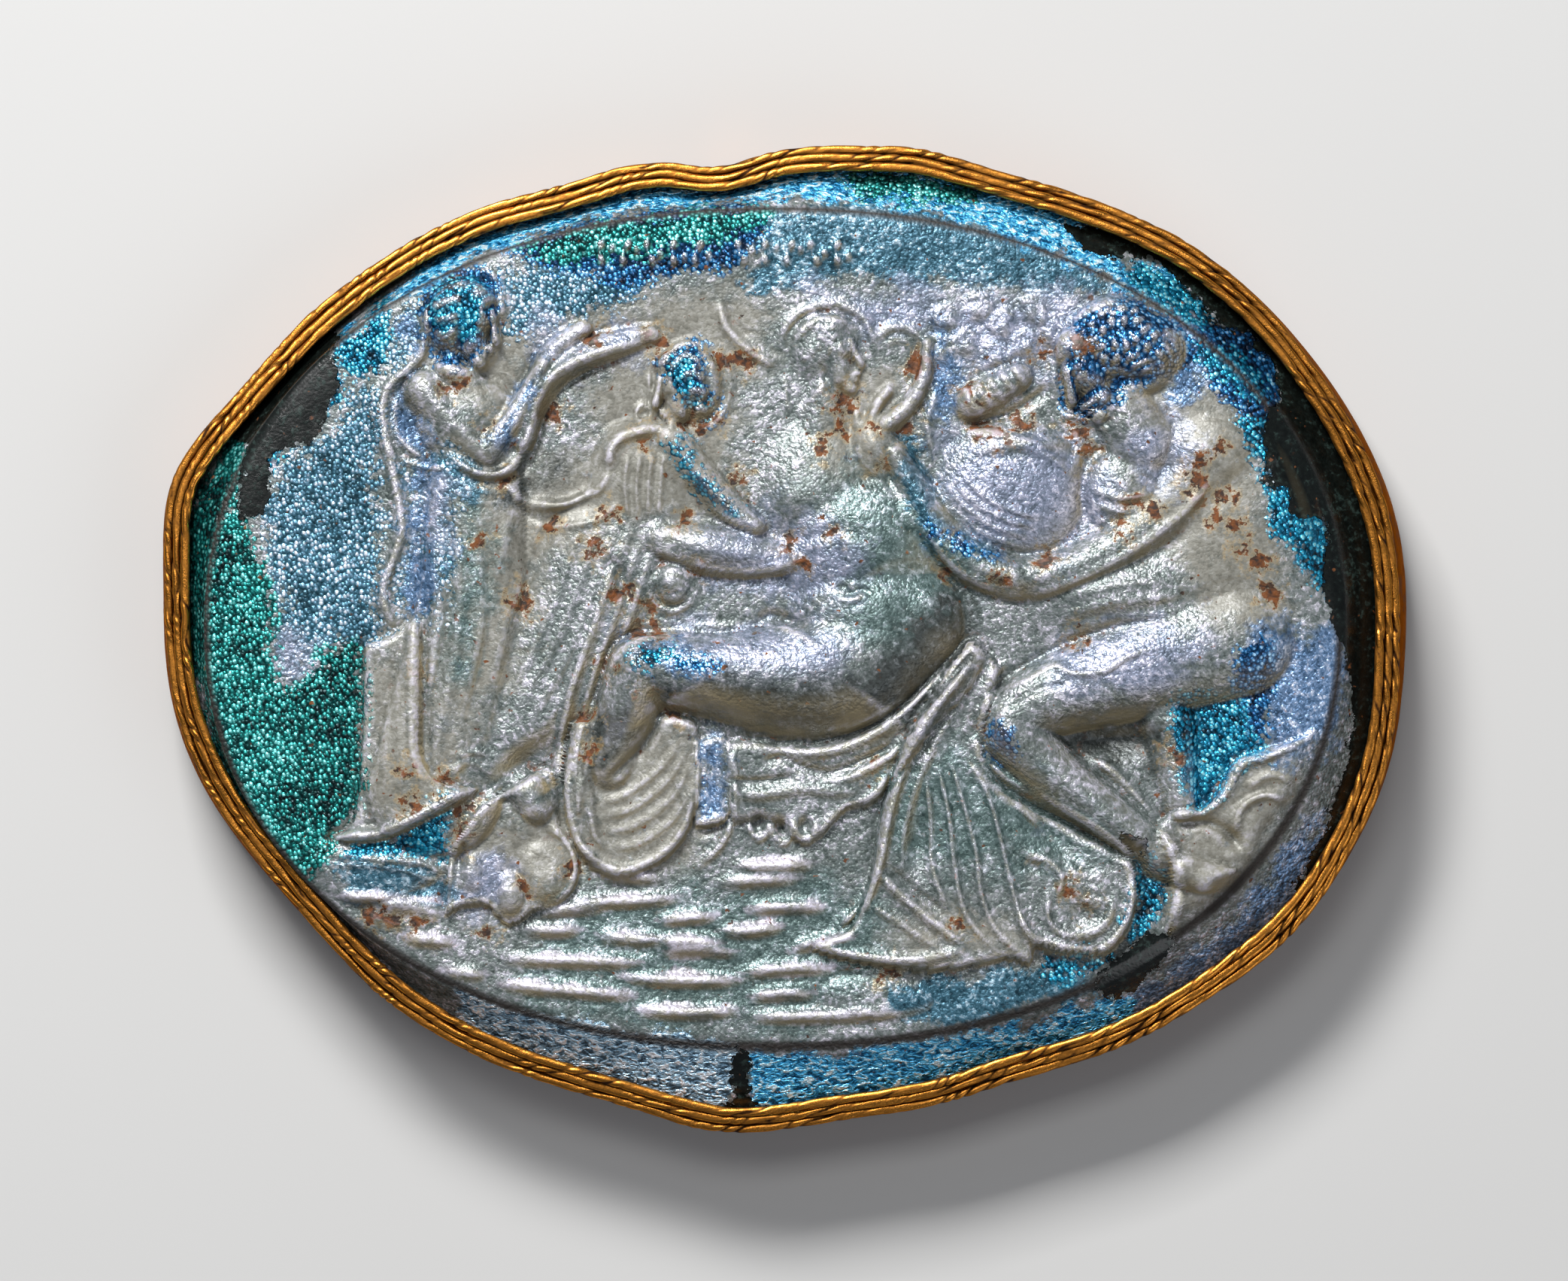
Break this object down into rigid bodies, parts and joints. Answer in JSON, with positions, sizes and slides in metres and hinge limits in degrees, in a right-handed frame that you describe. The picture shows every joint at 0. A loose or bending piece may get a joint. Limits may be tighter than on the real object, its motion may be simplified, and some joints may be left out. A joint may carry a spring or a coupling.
{
  "type": "glass cameo in a gold setting",
  "caption": "Oval weathered-glass cameo with a moulded figure scene in relief, held in a gold collet rimmed with twisted wire.",
  "frame": {"origin": "under the middle of the setting, on the surface that it lies on", "axes": "+X along the oval, to the right of the scene; +Y across it, to the scene's top; +Z out of the carved face"},
  "size_m": [0.03, 0.0236, 0.0048],
  "materials": {
    "weathered_glass": "opaque weathered glass with a silvery, blue and green iridescent crust, pebbled and sparkling",
    "sheet_gold": "hammered sheet gold, dulled, with brown soil in its hollows",
    "wire_gold": "twisted gold wire, rubbed bright on its crests, with dark grooves"
  },
  "bodies": {
    "root": {"glass_cameo": "weathered_glass", "gold_setting": "sheet_gold", "gold_wire_outer": "wire_gold", "gold_wire_middle": "wire_gold", "gold_wire_inner": "wire_gold"}
  },
  "joints": []
}
